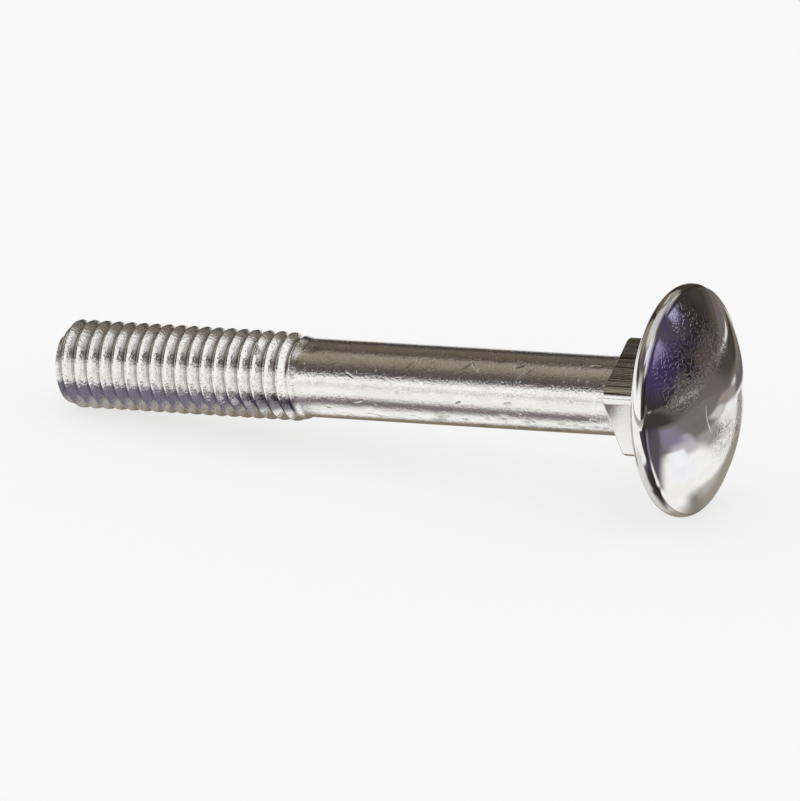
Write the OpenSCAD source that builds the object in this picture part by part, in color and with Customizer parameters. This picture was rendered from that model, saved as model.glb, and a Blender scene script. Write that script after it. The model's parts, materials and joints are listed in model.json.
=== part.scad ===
// Carriage bolt: domed head, square neck, plain shank and a rolled thread, lying at rest.
// The bolt is turned about its own axis with the head's seat at 0 and the head along +Z,
// then laid down: it touches the floor with the rim of its head and the end of its thread.

/* [Thread] */
// Outside diameter of the thread
thread_d = 7.8; // [6:0.1:10]
// Length of the thread, with its rounded end and its run-out
thread_len = 24; // [10:0.5:32]
// Length of the cone that runs out from the thread to the shank
runout_len = 0.7; // [0.2:0.1:2]
// Radius of the rounding at the thread's end
end_r = 1; // [0.4:0.1:1.6]

/* [Shank] */
// Length from the head's seat to the thread's end
under_head_len = 59.5; // [40:0.5:120]
// Diameter of the plain shank, close to the thread's pitch diameter
shank_d = 6.95; // [5.5:0.05:9.5]

/* [Square neck] */
// Width of the neck across its flats
neck_w = 7.9; // [6.5:0.1:10]
// Length of the neck below the head's seat
neck_len = 4.9; // [2:0.1:7]
// Radius of the neck's four long corners
neck_corner_r = 1.1; // [0.3:0.1:2]
// Chamfer round the neck's lower edge
neck_chamfer = 0.15; // [0.05:0.05:0.4]
// Turn of the neck about the bolt's axis as it lies, in degrees
neck_turn = 27; // [0:1:90]

/* [Head] */
// Diameter of the head
head_d = 20.3; // [16:0.1:26]
// Height of the dome's top above the seat
head_h = 4.5; // [3:0.1:7]
// Radius of the rounded rim
rim_r = 0.8; // [0.4:0.1:1.2]
// How far the rim's rounding stands proud of the dome, which leaves a fine line round the head
rim_step = 0.03; // [0.01:0.01:0.1]

/* [Hidden] */
$fn = 96;
thread_r = thread_d / 2;
shank_r = shank_d / 2;
head_r = head_d / 2;
thread_start = thread_len - under_head_len;
thread_full_len = thread_len - end_r - runout_len;
end_centre = [thread_r - end_r, end_r - under_head_len];
rim_centre = [head_r - rim_r, rim_r];
// The dome is the sphere through the top that passes the step below the rim's rounding
dome_rise = head_h - rim_r;
rim_reach = rim_r - rim_step;
dome_r = (pow(rim_centre.x, 2) + pow(dome_rise, 2) - pow(rim_reach, 2)) / (2 * (dome_rise - rim_reach));
dome_centre = [0, head_h - dome_r];
// The floor is the line that is tangent to the rim's rounding and the end's rounding
lay_run = rim_centre.y - end_centre.y;
lay_drop = rim_centre.x - end_centre.x;
lay_angle = atan(lay_drop / lay_run) + asin((rim_r - end_r) / norm([lay_run, lay_drop]));
seat_height = rim_centre.x * cos(lay_angle) - rim_r * sin(lay_angle) + rim_r;
// Reach of the laid bolt to each side of the seat's centre
reach_head = dome_centre.y * cos(lay_angle) + dome_r;
reach_end = under_head_len * cos(lay_angle) + end_centre.x * sin(lay_angle);

// Half section of the thread at its outside diameter, with the rounded end
module thread_section() {
    translate([0, -under_head_len]) square([end_centre.x, thread_full_len + end_r]);
    translate([0, end_centre.y]) square([thread_r, thread_full_len]);
    translate(end_centre) circle(end_r);
    polygon([
        [0, thread_start - runout_len], [thread_r, thread_start - runout_len],
        [shank_r, thread_start], [0, thread_start]
    ]);
}

module shank_section() {
    translate([0, thread_start]) square([shank_r, -thread_start]);
}

// Half section of the head: flat seat, rounded rim and spherical dome
module head_section() {
    rim_ray = rim_centre + (rim_centre - dome_centre);
    translate(rim_centre) circle(rim_r);
    intersection() {
        translate(dome_centre) circle(dome_r);
        polygon([[0, 0], [rim_centre.x, 0], rim_centre, rim_ray, [0, rim_ray.y]]);
    }
}

module turned_body() {
    rotate_extrude() {
        thread_section();
        shank_section();
        head_section();
    }
}

module neck_outline() {
    flat_w = neck_w - 2 * neck_corner_r;
    square([neck_w, flat_w], center = true);
    square([flat_w, neck_w], center = true);
    for (x = [-1, 1], y = [-1, 1])
        translate([x, y] * flat_w / 2) circle(neck_corner_r);
}

// Side view of the neck, with the chamfer at its lower edge
module neck_side() {
    half_w = neck_w / 2;
    polygon([
        [half_w, 0], [half_w, neck_chamfer - neck_len], [half_w - neck_chamfer, -neck_len],
        [neck_chamfer - half_w, -neck_len], [-half_w, neck_chamfer - neck_len], [-half_w, 0]
    ]);
}

module square_neck() {
    rotate([0, 0, neck_turn]) intersection() {
        translate([0, 0, -neck_len]) linear_extrude(neck_len) neck_outline();
        intersection_for (turn = [0, 90])
            rotate([90, 0, turn]) linear_extrude(2 * neck_w, center = true) neck_side();
    }
}

module lay_down() {
    translate([(reach_end - reach_head) / 2, 0, seat_height]) rotate([0, 90 - lay_angle, 0]) children();
}

module carriage_bolt() {
    color([0.74, 0.73, 0.71]) lay_down() {
        turned_body();
        square_neck();
    }
}

carriage_bolt();
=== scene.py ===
"""Looks of the carriage bolt: rolled thread, formed head and zinc plate, on a pale table in soft light."""

import json
import math
from collections import namedtuple

import bmesh
import bpy
from mathutils import Matrix, Vector


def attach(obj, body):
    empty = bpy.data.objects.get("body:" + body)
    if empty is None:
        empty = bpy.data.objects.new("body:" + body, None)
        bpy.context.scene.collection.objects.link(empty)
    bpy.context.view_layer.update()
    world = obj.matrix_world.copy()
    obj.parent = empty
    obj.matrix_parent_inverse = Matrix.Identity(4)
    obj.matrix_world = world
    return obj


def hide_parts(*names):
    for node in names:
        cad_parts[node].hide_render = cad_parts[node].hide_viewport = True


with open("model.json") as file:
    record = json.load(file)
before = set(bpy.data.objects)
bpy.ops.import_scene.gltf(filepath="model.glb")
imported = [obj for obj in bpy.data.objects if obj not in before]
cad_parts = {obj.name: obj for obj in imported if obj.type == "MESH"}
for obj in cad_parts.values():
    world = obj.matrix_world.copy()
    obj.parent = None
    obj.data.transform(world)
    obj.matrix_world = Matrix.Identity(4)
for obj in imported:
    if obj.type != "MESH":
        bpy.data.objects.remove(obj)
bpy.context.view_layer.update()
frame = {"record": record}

MOUNTS = {mount["name"]: mount for mount in frame["record"]["mounts"]}

# Sizes of the bolt in millimetres, turned to metres as it is laid down
MM = 0.001
PITCH = 1.25
THREAD_R = MOUNTS["thread"]["dims"]["r_mm"]
RUNOUT_LEN = 0.7
RUNOUT_LONGER_ON_TOP = 1.5
END_R = 1.0
THREAD_LEN = MOUNTS["thread"]["dims"]["length_mm"] + END_R + RUNOUT_LEN
UNDER_HEAD_LEN = 59.5
ROOT_R = 3.3
SHANK_R = 3.475
NECK_W = 7.9
NECK_LEN = 4.9
NECK_CORNER_R = 1.1
NECK_CHAMFER = 0.2
NECK_TURN = math.radians(27)
HEAD_R = 10.15
HEAD_H = 4.5
RIM_R = 0.8
RIM_STEP = 0.03

THREAD_START = THREAD_LEN - UNDER_HEAD_LEN
# Above this height the thread follows the run-out's outline, and below it is only trimmed by it
THREAD_LAST_TURNS = THREAD_START - 3
# The thread's depth goes to nothing between these heights, where it meets the shank
THREAD_FADE = (THREAD_START - 1.5, THREAD_START - 0.3)
# Height at which a crest passes the underside of the bolt as it lies
THREAD_FIRST_CREST = -56.75
# Rings of the dimple in the threaded end: share of the end's radius, depth
END_DIMPLE = ((0.93, 0.02), (0.82, 0.07), (0.6, 0.15), (0.3, 0.2), (0.05, 0.21))
# Width of the flat ring of the seat that is spun with the head; the neck is joined to it
SEAT_RING = 0.4
FULL_TURN = math.tau
# How finely the shapes are made; the spare turns of thread are trimmed away
THREAD_STEPS = 112
SPARE_TURNS = 5
HEAD_STEPS = 224
SHANK_CUTS = 119
SHARP_EDGE = math.radians(38)
ALONG = (0, 0, 1)
MERGE = 0.002


# ---------------------------------------------------------------- the bolt's shape


def laid_down():
    """Turns the bolt's own frame, head up and seat at zero, into the frame it lies in."""
    axis = -Vector(MOUNTS["thread"]["axis"])
    seat = Vector(MOUNTS["neck"]["pos_m"]) + axis * NECK_LEN / 2 * MM
    down = Vector((axis.z, 0, -axis.x))
    turn = Matrix((down, axis.cross(down), axis)).transposed()
    return Matrix.Translation(seat) @ turn.to_4x4() @ Matrix.Scale(MM, 4)


def arc(centre, radius, start, end, steps):
    """Points (radius, height) round a centre, from one angle to another in degrees."""
    angles = [math.radians(start + (end - start) * i / steps) for i in range(steps + 1)]
    return [(centre[0] + radius * math.cos(a), centre[1] + radius * math.sin(a)) for a in angles]


def thread_turn():
    """One pitch of the rolled thread, from crest middle to crest middle."""
    flat, rounding, fillet = 0.05, 0.03, 0.1
    slope = 38
    crest = arc((THREAD_R - rounding, flat), rounding, 0, 90 - slope, 3)
    edge_r, edge_z = crest[-1]
    run = PITCH / 2 - fillet * math.cos(math.radians(slope)) - edge_z
    foot_r = edge_r - run / math.tan(math.radians(slope))
    root_r = foot_r - fillet * (1 - math.sin(math.radians(slope)))
    root = arc((root_r + fillet, PITCH / 2), fillet, 270 - slope, 180, 3)
    half = [(THREAD_R, 0)] + crest + [((edge_r + foot_r) / 2, edge_z + run / 2)] + root
    return half + [(r, PITCH - z) for r, z in reversed(half[:-1])]


def chain(bm, points):
    """A row of vertices joined by edges, from points (radius, height); gives both."""
    verts = [bm.verts.new((r, 0, z)) for r, z in points]
    edges = [bm.edges.new(pair) for pair in zip(verts, verts[1:])]
    return verts + edges


def spin(bm, geom, steps, rise=0.0):
    """One full turn round the bolt's axis, with a rise for a helix."""
    bmesh.ops.spin(
        bm,
        geom=geom,
        cent=(0, 0, 0),
        axis=ALONG,
        dvec=(0, 0, rise / steps),
        angle=FULL_TURN,
        steps=steps,
        use_merge=rise == 0,
        use_duplicate=False,
    )
    bmesh.ops.remove_doubles(bm, verts=bm.verts, dist=MERGE)


def cut_off(bm, height, above):
    """Removes all that lies above, or below, a height."""
    bmesh.ops.bisect_plane(
        bm,
        geom=bm.verts[:] + bm.edges[:] + bm.faces[:],
        dist=MERGE,
        plane_co=(0, 0, height),
        plane_no=ALONG,
        clear_outer=above,
        clear_inner=not above,
    )


def open_ring(bm, height):
    """The edges of the open ring at a height."""
    return [e for e in bm.edges if e.is_boundary and all(abs(v.co.z - height) < 2 * MERGE for v in e.verts)]


def smooth_step(value, start, end):
    """0 at the start and 1 at the end, with a soft path between them."""
    t = min(max((value - start) / (end - start), 0), 1)
    return t * t * (3 - 2 * t)


def blank_radius(z, top):
    """Outline of the threaded part: rounded end, full diameter, run-out; top is 1 on the upper side."""
    end_z = END_R - UNDER_HEAD_LEN
    if z < end_z:
        return THREAD_R - END_R + math.sqrt(max(END_R**2 - (end_z - z) ** 2, 0))
    runout = RUNOUT_LEN + RUNOUT_LONGER_ON_TOP * top
    t = min(max((z - THREAD_START + runout) / runout, 0), 1)
    return THREAD_R + (SHANK_R - THREAD_R) * t


def rolled_thread(bm):
    """The helix, trimmed at both ends and shaped to the bolt's rounded end and run-out."""
    start = THREAD_FIRST_CREST - SPARE_TURNS * PITCH
    spin(bm, chain(bm, [(r, z + start) for r, z in thread_turn()]), THREAD_STEPS, rise=PITCH)
    turns = 1
    while turns * PITCH < THREAD_LEN + (SPARE_TURNS + 1) * PITCH:
        copied = bmesh.ops.duplicate(bm, geom=bm.verts[:] + bm.edges[:] + bm.faces[:])["geom"]
        verts = [g for g in copied if isinstance(g, bmesh.types.BMVert)]
        bmesh.ops.translate(bm, vec=(0, 0, turns * PITCH), verts=verts)
        turns *= 2
    bmesh.ops.remove_doubles(bm, verts=bm.verts, dist=MERGE)
    cut_off(bm, -UNDER_HEAD_LEN, above=False)
    cut_off(bm, THREAD_START, above=True)
    for v in bm.verts:
        radius = v.co.xy.length
        outline = blank_radius(v.co.z, 0.5 - 0.5 * v.co.x / radius)
        depth = (THREAD_R - radius) * (1 - smooth_step(v.co.z, *THREAD_FADE))
        shaped = min(radius, outline) if v.co.z < THREAD_LAST_TURNS else outline - depth
        v.co.xy *= shaped / radius
    bmesh.ops.remove_doubles(bm, verts=bm.verts, dist=MERGE)


def grow(bm, height, new_height, scale=1.0):
    """Extrudes the open ring at a height to a new height, and gives the new ring's vertices."""
    made = bmesh.ops.extrude_edge_only(bm, edges=open_ring(bm, height))["geom"]
    verts = [g for g in made if isinstance(g, bmesh.types.BMVert)]
    bmesh.ops.scale(bm, vec=(scale, scale, 1), verts=verts)
    bmesh.ops.translate(bm, vec=(0, 0, new_height - height), verts=verts)
    return verts


def end_face(bm):
    """Closes the thread's end with the shallow dimple that rolling leaves."""
    height, share = -UNDER_HEAD_LEN, 1.0
    for ring, depth in END_DIMPLE:
        grow(bm, height, depth - UNDER_HEAD_LEN, ring / share)
        height, share = depth - UNDER_HEAD_LEN, ring
    bmesh.ops.contextual_create(bm, geom=open_ring(bm, height))


def shank(bm):
    """The plain shank, from the thread's run-out up to the neck."""
    verts = grow(bm, THREAD_START, -NECK_LEN)
    lengthwise = [e for v in verts for e in v.link_edges if abs(e.verts[0].co.z - e.verts[1].co.z) > 1]
    bmesh.ops.subdivide_edges(bm, edges=lengthwise, cuts=SHANK_CUTS, use_grid_fill=True)


def square_neck():
    """The square neck with rounded corners, open at both ends."""
    bm = bmesh.new()
    cube = bmesh.ops.create_cube(bm, size=1)["verts"]
    bmesh.ops.scale(bm, vec=(NECK_W, NECK_W, NECK_LEN), verts=cube)
    bmesh.ops.translate(bm, vec=(0, 0, -NECK_LEN / 2), verts=cube)
    bmesh.ops.rotate(bm, cent=(0, 0, 0), matrix=Matrix.Rotation(NECK_TURN, 3, "Z"), verts=cube)
    corners = [e for e in bm.edges if abs(e.verts[0].co.z - e.verts[1].co.z) > 1]
    bevel(bm, corners, NECK_CORNER_R, 16)
    bevel(bm, [e for e in bm.edges if all(v.co.z < MERGE - NECK_LEN for v in e.verts)], NECK_CHAMFER, 4)
    bmesh.ops.delete(bm, geom=[f for f in bm.faces if abs(f.normal.z) > 0.99], context="FACES_ONLY")
    return bm


def bevel(bm, edges, width, segments):
    """Rounds edges off."""
    bmesh.ops.bevel(
        bm, geom=edges, offset=width, affect="EDGES", segments=segments, profile=0.5, material=-1
    )


def head():
    """Seat ring, rounded rim and dome, spun from their half section."""
    rim_centre = (HEAD_R - RIM_R, RIM_R)
    rise = HEAD_H - RIM_R
    reach = RIM_R - RIM_STEP
    dome_r = (rim_centre[0] ** 2 + rise**2 - reach**2) / (2 * (rise - reach))
    dome_z = HEAD_H - dome_r
    span = math.hypot(rim_centre[0], rim_centre[1] - dome_z)
    line = math.degrees(math.atan2(rim_centre[1] - dome_z, rim_centre[0]))
    meet = math.degrees(math.acos((dome_r**2 - span**2 - RIM_R**2) / (2 * span * RIM_R)))
    rim = arc(rim_centre, RIM_R, -90, line + meet, 22)
    dome_start = math.degrees(math.atan2(rim[-1][1] - dome_z, rim[-1][0]))
    dome = arc((0, dome_z), dome_r, dome_start, 90, 60)[1:]
    bm = bmesh.new()
    spin(bm, chain(bm, [(rim_centre[0] - SEAT_RING, 0)] + rim + dome), HEAD_STEPS)
    return bm


def add_part(bm, part):
    """Puts a part's faces into the bolt."""
    mesh = bpy.data.meshes.new("part")
    part.to_mesh(mesh)
    part.free()
    bm.from_mesh(mesh)
    bpy.data.meshes.remove(mesh)


def join_rings(bm, height):
    """Bridges the two open rings at a height."""
    # Known fault: both rings lie in one plane round one centre, and they come out paired the wrong
    # way round, so hidden layers cross inside the bolt and the neck's faces point inwards.
    bmesh.ops.bridge_loops(bm, edges=open_ring(bm, height))


# Knocks in the plating: radius, angle in degrees and height of the middle, reach, depth
KNOCKS = (
    (3.95, -144.5, -39.6, 0.75, 0.3),
    (9.97, -57, 1.3, 0.6, 0.07),
    (10.05, -61, 1.2, 0.5, -0.05),
    (SHANK_R, -59, -28.5, 0.7, 0.05),
    (SHANK_R, -155, -34.5, 0.8, 0.05),
    (SHANK_R, -64, -15.5, 0.6, 0.05),
    (SHANK_R, -96, -25.5, 0.5, 0.025),
    (SHANK_R, -160, -16.2, 0.8, 0.04),
)


def on_side(radius, angle, height):
    """A place on the bolt, from its distance to the axis, its angle in degrees and its height."""
    turn = math.radians(angle)
    return Vector((radius * math.cos(turn), radius * math.sin(turn), height))


def knock(bm):
    """Presses the knocks into the surface; a negative depth raises a burr."""
    bm.normal_update()
    for radius, angle, height, reach, depth in KNOCKS:
        middle = on_side(radius, angle, height)
        for v in bm.verts:
            away = (v.co - middle).length / reach
            if away < 1:
                v.co -= v.normal * depth * smooth_step(1 - away, 0, 1)


def bolt_mesh():
    """The whole bolt, upright, as one skin with no open edges."""
    bm = bmesh.new()
    rolled_thread(bm)
    end_face(bm)
    shank(bm)
    add_part(bm, square_neck())
    join_rings(bm, -NECK_LEN)
    add_part(bm, head())
    join_rings(bm, 0)
    bmesh.ops.recalc_face_normals(bm, faces=bm.faces)
    knock(bm)
    for e in bm.edges:
        e.smooth = e.calc_face_angle(0) < SHARP_EDGE
    for f in bm.faces:
        f.smooth = True
    return bm


def make_bolt():
    """The bolt as an object, laid down."""
    bm = bolt_mesh()
    bmesh.ops.transform(bm, matrix=laid_down(), verts=bm.verts)
    mesh = bpy.data.meshes.new("bolt")
    bm.to_mesh(mesh)
    bm.free()
    bolt = bpy.data.objects.new("bolt", mesh)
    bpy.context.scene.collection.objects.link(bolt)
    return bolt


# ---------------------------------------------------------------- shader arithmetic


class Value:
    """A node's output that takes part in sums as a number would."""

    def __init__(self, shader, socket):
        self.shader = shader
        self.socket = socket

    def math(self, operation, *others):
        """Adds a Math node that starts from this value."""
        return self.shader.add("ShaderNodeMath", {"operation": operation}, (self, *others))

    def __add__(self, other):
        return self.math("ADD", other)

    def __sub__(self, other):
        return self.math("SUBTRACT", other)

    def __mul__(self, other):
        return self.math("MULTIPLY", other)

    def __truediv__(self, other):
        return self.math("DIVIDE", other)

    def __rsub__(self, other):
        return self.shader.add("ShaderNodeMath", {"operation": "SUBTRACT"}, (other, self))

    def __rtruediv__(self, other):
        return self.shader.add("ShaderNodeMath", {"operation": "DIVIDE"}, (other, self))

    __radd__ = __add__
    __rmul__ = __mul__

    def ramp(self, start, end, low=0.0, high=1.0):
        """Goes smoothly from low at start to high at end."""
        settings = {"interpolation_type": "SMOOTHSTEP"}
        return self.shader.add("ShaderNodeMapRange", settings, (self, start, end, low, high))


class Shader:
    """A node tree, with one method that adds any node."""

    def __init__(self, tree):
        self.tree = tree
        tree.nodes.clear()

    def add(self, kind, settings=None, inputs=None, output=0):
        """Adds a node: its settings, what goes into its sockets, and which of its outputs is used."""
        node = self.tree.nodes.new(kind)
        for name, value in (settings or {}).items():
            setattr(node, name, value)
        if isinstance(inputs, (tuple, list)):
            inputs = dict(enumerate(inputs))
        for name, value in (inputs or {}).items():
            if isinstance(value, Value):
                self.tree.links.new(value.socket, node.inputs[name])
            else:
                node.inputs[name].default_value = value
        return Value(self, node.outputs[output]) if node.outputs else None

    def parts(self, vector):
        """The three numbers of a vector."""
        return [self.add("ShaderNodeSeparateXYZ", {}, (vector,), output=i) for i in range(3)]

    def mix(self, factor, a, b):
        """Mixes two colours."""
        return self.add("ShaderNodeMix", {"data_type": "RGBA"}, {0: factor, 6: a, 7: b}, output=2)

    def noise(self, place, stretch, detail=3.0, roughness=0.5, seed=0.0):
        """Cloudy pattern from 0 to 1, with so many lumps to a millimetre along each direction."""
        moves = {"Vector": place, "Location": (seed, seed, seed), "Scale": stretch}
        moved = self.add("ShaderNodeMapping", {}, moves)
        inputs = {"Vector": moved, "Scale": 1.0, "Detail": detail, "Roughness": roughness}
        return self.add("ShaderNodeTexNoise", {}, inputs)


def tone(r, g, b):
    """A colour, without transparency."""
    return (r, g, b, 1)


# ---------------------------------------------------------------- finishes


def bolt_place(s):
    """Place on the bolt in millimetres, in its own frame: across, across, along."""
    location, rotation, scale = laid_down().inverted().decompose()
    place = s.add("ShaderNodeTexCoord", output="Object")
    inputs = {"Vector": place, "Location": location, "Rotation": rotation.to_euler(), "Scale": scale}
    return s.add("ShaderNodeMapping", {}, inputs)


def zinc(name, paint):
    """A zinc-plated finish whose colour, roughness and height a function paints."""
    material = bpy.data.materials.new(name)
    material.use_nodes = True
    s = Shader(material.node_tree)
    colour, roughness, height = paint(s, bolt_place(s))
    relief = s.add("ShaderNodeBump", {}, {"Strength": 1.0, "Distance": MM, "Height": height})
    inputs = {"Base Color": colour, "Metallic": 1.0, "Roughness": roughness, "Normal": relief}
    surface = s.add("ShaderNodeBsdfPrincipled", {}, inputs)
    s.add("ShaderNodeOutputMaterial", {}, (surface,))
    return material


ZINC = tone(0.92, 0.915, 0.905)
WARM_ZINC = tone(0.87, 0.86, 0.84)
BLUE_ZINC = tone(0.72, 0.7, 0.95)
# Dark colour of soiling, scratches, pits and forging lines; it also paints shade in the thread's roots and
# along the rim's fold, and dark reflection on the dome's scuffed patches
DIRT_AND_PAINTED_SHADE = tone(0.16, 0.13, 0.1)
# Dull tinted zinc that paints a dark reflection on the lower side of the thread's last turns
LOWER_TURNS_DARK_REFLECTION = tone(0.24, 0.225, 0.27)


def from_axis(s, place):
    """Distance from the bolt's axis."""
    x, y, _ = s.parts(place)
    return (x * x + y * y).math("SQRT")


def spot(s, place, middle, half_length, half_width, lean=0.0):
    """1 in the middle of a small mark and 0 at its edge; it lies along the bolt unless it leans."""
    around = math.atan2(middle[1], middle[0])
    settings = {"vector_type": "TEXTURE"}
    inputs = {"Vector": place, "Location": middle, "Rotation": (math.radians(lean), 0, around)}
    inputs["Scale"] = (half_length, half_width, half_length)
    local = s.add("ShaderNodeMapping", settings, inputs)
    away = s.add("ShaderNodeVectorMath", {"operation": "LENGTH"}, (local,), output=1)
    return away.ramp(1, 0.3)


def plating(s, place):
    """Zinc that goes a little warmer in places."""
    return s.mix(s.noise(place, (0.7, 0.7, 0.4)).ramp(0.35, 0.65), ZINC, WARM_ZINC)


def rolled_thread_finish(s, place):
    """Speckled plating, with painted shade and some soiling in the roots, a dark patch where the thread
    runs out, and painted dark reflection low on the last turns.
    """
    pits = s.noise(place, (4.5, 4.5, 5.5), detail=2.0, seed=3)
    # Darker towards the roots: painted shade in the recesses, with some soiling
    rooted = from_axis(s, place).ramp(ROOT_R + 0.035, ROOT_R)
    root_shade_and_dirt = rooted * s.noise(place, (2, 2, 2), seed=6).ramp(0.15, 0.4)
    darkening = (root_shade_and_dirt * 0.45).math("MAXIMUM", pits.ramp(0.56, 0.68) * 0.42)
    down, _, up = s.parts(place)
    # Painted dark reflection: a band on the lower side of the last turns goes to a dull tinted zinc
    dark_reflection_mask = down.ramp(0.5, 1.25) * down.ramp(2.6, 1.9) * up.ramp(-44, -39) * up.ramp(-35.6, -36.2)
    plating_with_dark_reflection = s.mix(dark_reflection_mask, plating(s, place), LOWER_TURNS_DARK_REFLECTION)
    # A dark speckled patch where the thread runs out
    dark_patch = spot(s, place, on_side(THREAD_R, -112, THREAD_START - 0.2), 0.75, 0.8) * pits.ramp(0.35, 0.5)
    darkening = darkening.math("MAXIMUM", dark_patch * 0.8)
    return s.mix(darkening, plating_with_dark_reflection, DIRT_AND_PAINTED_SHADE), pits.ramp(0.4, 0.7, 0.03, 0.1), pits * 0.035


# Scratches on the shank: angle, height, half length, half width, lean, depth
SCRATCHES = (
    (-88, -14.8, 0.6, 0.15, 10, 0.04),
    (-133, -13.3, 1.1, 0.16, 35, 0.03),
    (-146, -14.0, 0.6, 0.25, 20, 0.04),
    (-78, -29.4, 0.6, 0.2, 15, 0.025),
    (-116, -30.2, 0.6, 0.15, -25, 0.025),
    (-153, -6.9, 0.7, 0.25, 0, 0.04),
    (-62, -13.0, 0.7, 0.12, -30, 0.04),
    (-141, -19.0, 0.9, 0.14, 50, 0.03),
    (-139, -18.2, 0.9, 0.14, -40, 0.03),
    (-137, -24.5, 0.8, 0.12, 60, 0.02),
    (-96, -25.5, 0.35, 0.3, 0, 0.01),
    (-84, -19.6, 0.4, 0.2, 30, 0.04),
    (-98, -8.7, 0.45, 0.2, -40, 0.03),
    (-69, -6.8, 0.4, 0.25, 0, 0.03),
    (-64, -32.5, 0.3, 0.2, 0, 0.03),
)


def drawn_shank_finish(s, place):
    """Bright plating with a fine grain, pits and short scratches."""
    grain = s.noise(place, (4, 4, 6.5), detail=2.0, roughness=0.6, seed=5)
    lines = s.noise(place, (5, 5, 0.3), detail=2.0, seed=9)
    specks = s.noise(place, (2.6, 2.6, 2.2), detail=1.0, seed=2).ramp(0.7, 0.76)
    smudges = s.noise(place, (1.6, 1.6, 0.7), detail=3.0, seed=12).ramp(0.54, 0.7)
    lower = s.parts(place)[0].ramp(0.6, 2.2)
    height = grain * 0.032 + lines * 0.004 - specks * 0.012
    darkening = smudges * (lower * 0.4 + 0.08)
    for angle, up, half_length, half_width, lean, depth in SCRATCHES:
        mark = spot(s, place, on_side(SHANK_R, angle, up), half_length, half_width, lean)
        height -= mark * depth
        darkening = darkening.math("MAXIMUM", mark * 0.18)
    colour = s.mix(darkening, plating(s, place), DIRT_AND_PAINTED_SHADE)
    return colour, grain.ramp(0.4, 0.7, 0.04, 0.1), height


def forged_neck_finish(s, place):
    """Bright plating; all faces but one keep fine dark lines from the forging die."""
    x, y, _ = s.parts(place)
    cos, sin = math.cos(NECK_TURN), math.sin(NECK_TURN)
    lined = (x * cos + y * sin).math("ABSOLUTE").math("MAXIMUM", y * cos - x * sin)
    lined = lined.ramp(NECK_W / 2 - 0.35, NECK_W / 2 - 0.1)
    lines = s.noise(place, (8, 8, 0.12), detail=1.0, seed=9)
    grain = s.noise(place, (5, 5, 5), detail=2.0, seed=1)
    colour = s.mix(lines.ramp(0.5, 0.6) * lined * 0.8, plating(s, place), DIRT_AND_PAINTED_SHADE)
    return colour, lined * 0.08 + 0.07, lines * lined * 0.01 + grain * 0.007


# Scratches that run round the dome: distance from its middle, angle, reach
TURNING_SCRATCHES = ((3.2, -78, 1.8), (5.1, 62, 1.6), (6.4, 30, 1.4), (7.4, -44, 1.5), (2.2, 10, 1.2))
# Scuffed patches of the dome, darkened between their scuff lines as a painted dark reflection: angle,
# distance from its middle, reach
SCUFFS = ((-168, 6.2, 5), (-125, 7, 4), (50, 4.8, 3.4), (-5, 3, 3), (-80, 9, 1.6), (105, 8, 2.6))


def polished_head_finish(s, place):
    """Bright dome with scuffed patches, a blued edge, turning scratches, painted shade along the rim's line
    and painted dark reflection in the scuffed patches.
    """
    radius = from_axis(s, place)
    height = s.parts(place)[2]
    patches = 0
    for angle, away, reach in SCUFFS:
        patches = spot(s, place, on_side(away, angle, 3.5), reach, reach) + patches
    patches = patches.math("MINIMUM", 1)
    curls = (s.noise(place, (1.9, 1.9, 1.9), detail=1.0, seed=7) - 0.5).math("ABSOLUTE").ramp(0.08, 0.0)
    scuffs = curls * patches
    blued = spot(s, place, on_side(9, -140, 2.5), 6, 7)
    blued = blued * height.ramp(0.9, 1.5) * s.noise(place, (0.5, 0.5, 0.5)).ramp(0.35, 0.55)
    plated = s.mix(blued, plating(s, place), BLUE_ZINC)
    # Painted shade: a dark line along the rim, in the fold between rim and dome
    rim_fold_shade = (radius - (HEAD_R - 0.3)).math("ABSOLUTE").ramp(0.08, 0.02)
    # Painted dark reflection: the scuffed patches go darker between their scuff lines
    darkening = (rim_fold_shade * height.ramp(1.2, 1.4) * 0.6).math("MAXIMUM", (patches - scuffs) * 0.4)
    colour = s.mix(darkening, plated, DIRT_AND_PAINTED_SHADE)
    relief = scuffs * -0.009
    for away, angle, reach in TURNING_SCRATCHES:
        line = (radius - away).math("ABSOLUTE").ramp(0.07, 0.0)
        relief -= line * spot(s, place, on_side(away, angle, 4.2), reach, reach) * 0.02
    return colour, scuffs * 0.06 + 0.05, relief


def finish_bolt(bolt):
    """Gives each stretch of the bolt its own finish, up to the height where it ends."""
    finishes = (
        ("rolled_thread_zinc", rolled_thread_finish, THREAD_START),
        ("drawn_shank_zinc", drawn_shank_finish, -NECK_LEN - 0.02),
        ("forged_neck_zinc", forged_neck_finish, -0.02),
        ("polished_head_zinc", polished_head_finish, HEAD_H + 1),
    )
    for name, paint, _ in finishes:
        bolt.data.materials.append(zinc(name, paint))
    upright = laid_down().inverted()
    for face in bolt.data.polygons:
        height = (upright @ face.center).z
        face.material_index = next(i for i, finish in enumerate(finishes) if height < finish[2])


# ---------------------------------------------------------------- studio

CAMERA_AZIMUTH = math.radians(26.264)
CAMERA_ELEVATION = math.radians(20.375)
CAMERA_AIM = Vector((0.00066, 0, 0.00552))
CAMERA_DISTANCE = 1.01268
CAMERA_LENS = 520.7
PALE = tone(0.939, 0.939, 0.939)

# Soft-edged fields of tone: place of the middle, half width and half height, softness, turn, tone
Field = namedtuple("Field", "u v wide high soft turn tone")
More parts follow.
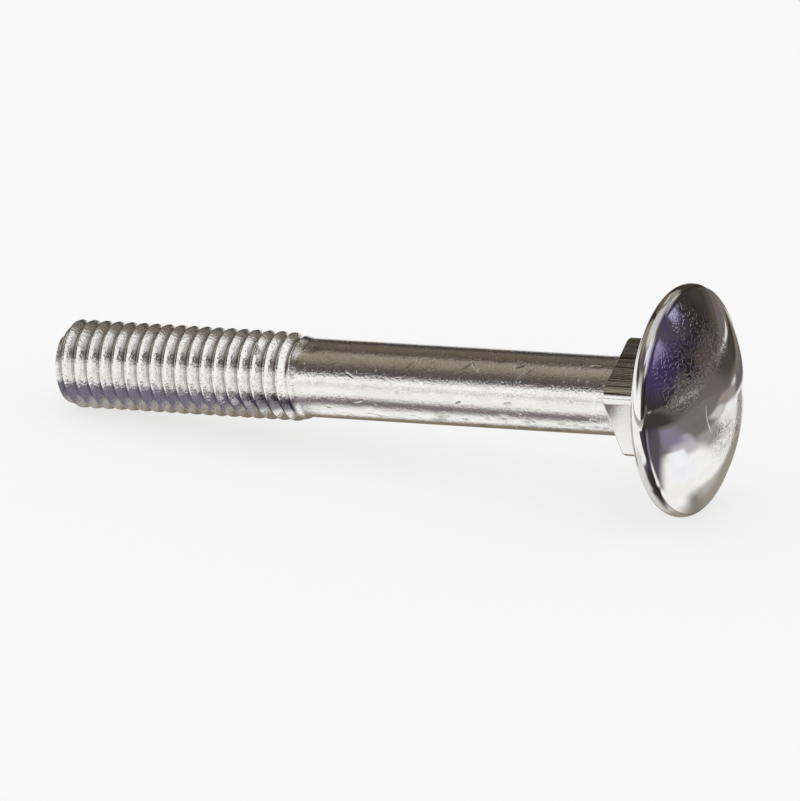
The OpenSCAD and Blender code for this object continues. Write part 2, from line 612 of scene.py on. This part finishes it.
# In the room these are degrees of azimuth and elevation; azimuth 0 is towards -Y, 90 towards +X
ROOM_BASE = tone(0.27, 0.235, 0.175)
ROOM = (
    Field(-155, 25, 44, 37, 6, 0, tone(0.14, 0.115, 0.085)),
    Field(-122, 27, 9, 10, 8, 0, tone(0.05, 0.035, 0.02)),
    Field(-117, 52, 5, 30, 4, 0, tone(0.035, 0.027, 0.02)),
    Field(-162, 46, 12, 13, 6, 0, tone(0.5, 0.48, 0.46)),
    Field(-45, 31, 38, 8, 6, 0, tone(0.07, 0.055, 0.06)),
    Field(115, 68, 60, 16, 12, 0, tone(0.6, 0.58, 0.56)),
    Field(-2, 52, 50, 11, 6, 0, tone(0.11, 0.095, 0.085)),
    Field(0, 82, 400, 15, 8, 0, tone(0.62, 0.6, 0.6)),
    Field(-35, 0, 68, 20, 10, 0, tone(0.98, 0.98, 0.97)),
    Field(5, 0, 22, 34, 30, 0, tone(1.0, 1.0, 1.0)),
    Field(126, 6, 88, 27, 9, 0, tone(0.045, 0.035, 0.035)),
    Field(118, 26, 22, 9, 8, 0, tone(0.09, 0.075, 0.1)),
    Field(100, 13, 10, 8, 8, 0, tone(0.075, 0.055, 0.12)),
    Field(89, 28, 9, 7, 7, 0, tone(0.5, 0.47, 0.6)),
    Field(103, 27, 8, 6, 6, 0, tone(0.34, 0.3, 0.4)),
    Field(134, 26.5, 4.5, 2.5, 4, 0, tone(0.45, 0.42, 0.55)),
    Field(126, 0, 24, 2.5, 2.5, 0, tone(0.24, 0.21, 0.185)),
    Field(112, 6, 6, 3.5, 3, 0, tone(0.13, 0.11, 0.105)),
    Field(139, 5, 11, 4, 6, 0, tone(0.14, 0.11, 0.10)),
    Field(167, 0, 18, 5, 5, 0, tone(0.1, 0.085, 0.07)),
    Field(170, 42, 30, 8, 12, 0, tone(0.33, 0.29, 0.25)),
    Field(145, 36, 14, 9, 8, 0, tone(0.66, 0.65, 0.63)),
    Field(168, 19, 9, 12, 6, 0, tone(0.06, 0.05, 0.045)),
    Field(80, 39, 22, 10, 8, 0, tone(0.85, 0.84, 0.83)),
    Field(55, 56, 28, 7, 6, 0, tone(0.92, 0.91, 0.9)),
    Field(-160, 2, 8, 7, 8, 0, tone(0.3, 0.28, 0.26)),
)
# Size of the table from its middle to its edges, and the share of its tone that the camera sees unshaded
TABLE_REACH = 3000
TABLE_GLOW = 0.75
# On the table these are millimetres along and across the bolt; they paint the tones that only polished
# metal sees, among them painted shade of the bolt in stripes to either side of it and dimmer far reaches
TABLE_BASE = tone(0.95, 0.95, 0.94)
TABLE = (
    Field(5046, 5000, 5000, 5009, 8, 0, tone(0.19, 0.17, 0.165)),
    Field(5110, 5000, 5000, 5020, 30, 0, tone(0.13, 0.11, 0.11)),
    Field(46, 14, 5, 6, 5, 0, tone(0.36, 0.33, 0.32)),
    Field(43, 27, 6, 7, 5, 0, tone(0.9, 0.89, 0.87)),
    Field(50, 41, 12, 6, 6, 0, tone(0.33, 0.29, 0.26)),
    Field(28, 48, 12, 11, 4, 0, tone(0.15, 0.13, 0.15)),
    Field(5018, 5052, 5000, 5000, 8, 0, tone(0.16, 0.135, 0.13)),
    Field(18, 150, 16, 100, 12, 8, tone(0.22, 0.18, 0.14)),
    Field(45, 92, 30, 16, 14, 50, tone(0.03, 0.025, 0.022)),
    Field(300, 370, 400, 20, 30, 49, tone(0.07, 0.06, 0.055)),
    Field(1050, 1880, 1900, 30, 40, 61.5, tone(0.26, 0.23, 0.2)),
    Field(105, 220, 120, 6, 8, 55, tone(0.85, 0.84, 0.85)),
    Field(560, 228, 340, 65, 40, 22, tone(0.42, 0.4, 0.38)),
    Field(1700, 680, 1200, 150, 120, 22, tone(0.42, 0.4, 0.37)),
    Field(52, 2, 7, 5, 4, 0, tone(0.55, 0.52, 0.56)),
    Field(54, 28, 5, 6, 5, 0, tone(0.6, 0.58, 0.56)),
    Field(42, -1.5, 6, 3, 2, 0, tone(0.95, 0.96, 1.0)),
    Field(66, -1, 14, 6, 8, 0, tone(0.24, 0.22, 0.31)),
    Field(5029, -11.5, 5000, 5.5, 2.5, 0, tone(0.1, 0.085, 0.11)),
    Field(5040, -38, 5000, 26, 5, 0, tone(0.06, 0.045, 0.065)),
    Field(240, -33, 150, 46, 24, 0, tone(0.05, 0.042, 0.043)),
    Field(33.5, -10, 5, 3.8, 2.5, -10, tone(0.045, 0.035, 0.035)),
    Field(25.5, -11, 4, 6, 4, 0, tone(0.42, 0.4, 0.37)),
    Field(30.2, 10, 3, 9.5, 1.5, 0, tone(0.5, 0.47, 0.44)),
    Field(30, 15, 3.3, 20, 2, -8, tone(0.33, 0.29, 0.24)),
    Field(30.9, -0.3, 1.9, 1.3, 2.4, 0, tone(0.25, 0.22, 0.2)),
    Field(23, -14, 6, 8, 4, 0, tone(0.74, 0.73, 0.72)),
    Field(0, -1500, 9000, 1400, 60, 0, tone(0.4, 0.38, 0.38)),
    Field(-25, -4.2, 16, 3.6, 2, 0, tone(0.19, 0.178, 0.235)),
    Field(-24, -0.6, 16, 1.6, 1.2, 0, tone(0.4, 0.37, 0.34)),
    Field(4, -8.8, 14.5, 3.6, 3, 0, tone(0.5, 0.46, 0.46)),
    Field(4, -8.2, 14.5, 2.1, 1.8, 0, tone(0.2, 0.165, 0.18)),
    Field(-3, 4.2, 30, 5, 1.4, 0, tone(0.24, 0.2, 0.145)),
)
# On the reflector card beyond the head these are millimetres across the bolt and upwards
CARD_BASE = tone(0.33, 0.31, 0.28)
CARD = (
    Field(81, -120, 600, 200, 30, 24, tone(1.0, 0.99, 0.97)),
    Field(258, 60, 200, 400, 50, 0, tone(0.2, 0.17, 0.14)),
)
CARD_X = 26
CARD_Y = (-60, 320)
CARD_HEIGHT = 150


def direction(azimuth, elevation):
    """Unit vector; azimuth 0 is the side towards -Y, and turns towards +X."""
    level = math.cos(elevation)
    return Vector((level * math.sin(azimuth), -level * math.cos(azimuth), math.sin(elevation)))


def make_camera():
    """The camera, at the side and height the bolt is seen from."""
    data = bpy.data.cameras.new("camera")
    data.lens = CAMERA_LENS
    data.clip_start = 0.05
    data.clip_end = 10
    camera = bpy.data.objects.new("camera", data)
    away = direction(CAMERA_AZIMUTH, CAMERA_ELEVATION)
    camera.location = CAMERA_AIM + away * CAMERA_DISTANCE
    camera.rotation_euler = away.to_track_quat("Z", "Y").to_euler()
    bpy.context.scene.collection.objects.link(camera)
    bpy.context.scene.camera = camera


def inside(field, u, v):
    """1 inside a field's soft edges and 0 outside, for distances from its middle."""
    cos, sin = math.cos(math.radians(field.turn)), math.sin(math.radians(field.turn))
    half = field.soft / 2
    across = (u * cos + v * sin).math("ABSOLUTE").ramp(field.wide + half, field.wide - half)
    up = (v * cos - u * sin).math("ABSOLUTE").ramp(field.high + half, field.high - half)
    return across * up


def room_tones(s):
    """What polished metal sees of the room, by direction."""
    x, y, z = s.parts(s.add("ShaderNodeTexCoord", output="Generated"))
    elevation = z.math("ARCSINE") * math.degrees(1)
    seen = ROOM_BASE
    for field in ROOM:
        cos, sin = math.cos(math.radians(field.u)), math.sin(math.radians(field.u))
        azimuth = (x * cos + y * sin).math("ARCTAN2", x * sin - y * cos) * math.degrees(1)
        seen = s.mix(inside(field, azimuth, elevation - field.v), seen, field.tone)
    return seen


def flat_tones(s, across, up, base, fields):
    """What polished metal sees of a flat sheet, by place in metres."""
    seen = base
    for field in fields:
        seen = s.mix(inside(field, across / MM - field.u, up / MM - field.v), seen, field.tone)
    return s.add("ShaderNodeEmission", {}, {"Color": seen})


def sheet(name, corners):
    """A flat sheet of the studio, with an empty shader to fill."""
    bm = bmesh.new()
    bm.faces.new([bm.verts.new(Vector(corner) * MM) for corner in corners])
    mesh = bpy.data.meshes.new(name)
    bm.to_mesh(mesh)
    bm.free()
    obj = bpy.data.objects.new(name, mesh)
    bpy.context.scene.collection.objects.link(obj)
    material = bpy.data.materials.new(name)
    material.use_nodes = True
    mesh.materials.append(material)
    return obj, Shader(material.node_tree)


def make_table():
    """The pale table; it keeps the bolt's shadow, and polished metal sees painted tones in it, painted
    shade beside the bolt among them.
    """
    far = TABLE_REACH
    _, s = sheet("pale_table", ((-far, -far, 0), (far, -far, 0), (far, far, 0), (-far, far, 0)))
    to_camera = s.add("ShaderNodeLightPath", output="Is Camera Ray")
    to_metal = s.add("ShaderNodeLightPath", output="Is Glossy Ray")
    matt = s.add("ShaderNodeBsdfDiffuse", {}, {"Color": PALE})
    glow = s.add("ShaderNodeEmission", {}, {"Color": PALE})
    plain = s.add("ShaderNodeMixShader", {}, (to_camera * TABLE_GLOW, matt, glow))
    x, y, _ = s.parts(s.add("ShaderNodeTexCoord", output="Object"))
    surface = s.add("ShaderNodeMixShader", {}, (to_metal, plain, flat_tones(s, x, y, TABLE_BASE, TABLE)))
    s.add("ShaderNodeOutputMaterial", {}, (surface,))


def make_card():
    """A reflector card that only metal sees, and only from the bolt's threaded side."""
    near, far = CARD_Y
    corners = ((CARD_X, near, 0), (CARD_X, near, CARD_HEIGHT), (CARD_X, far, CARD_HEIGHT), (CARD_X, far, 0))
    card, s = sheet("reflector_card", corners)
    card.visible_camera = False
    card.visible_diffuse = False
    card.visible_shadow = False
    card.visible_transmission = False
    behind = s.add("ShaderNodeNewGeometry", output="Backfacing")
    clear = s.add("ShaderNodeBsdfTransparent")
    _, y, z = s.parts(s.add("ShaderNodeTexCoord", output="Object"))
    surface = s.add("ShaderNodeMixShader", {}, (behind, flat_tones(s, y, z, CARD_BASE, CARD), clear))
    s.add("ShaderNodeOutputMaterial", {}, (surface,))


def make_room():
    """Plain soft light from all round; polished metal sees the room's tones instead."""
    world = bpy.data.worlds.new("room")
    bpy.context.scene.world = world
    world.use_nodes = True
    s = Shader(world.node_tree)
    to_metal = s.add("ShaderNodeLightPath", output="Is Glossy Ray")
    to_camera = s.add("ShaderNodeLightPath", output="Is Camera Ray")
    plain = s.add("ShaderNodeBackground", {}, {"Color": s.mix(to_camera, tone(1, 1, 1), PALE)})
    painted = s.add("ShaderNodeBackground", {}, {"Color": room_tones(s)})
    s.add("ShaderNodeOutputWorld", {}, (s.add("ShaderNodeMixShader", {}, (to_metal, plain, painted)),))


bolt = make_bolt()
finish_bolt(bolt)
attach(bolt, "root")
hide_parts("carriage_bolt")
make_table()
make_card()
make_room()
make_camera()
bpy.context.scene.view_settings.view_transform = "Standard"
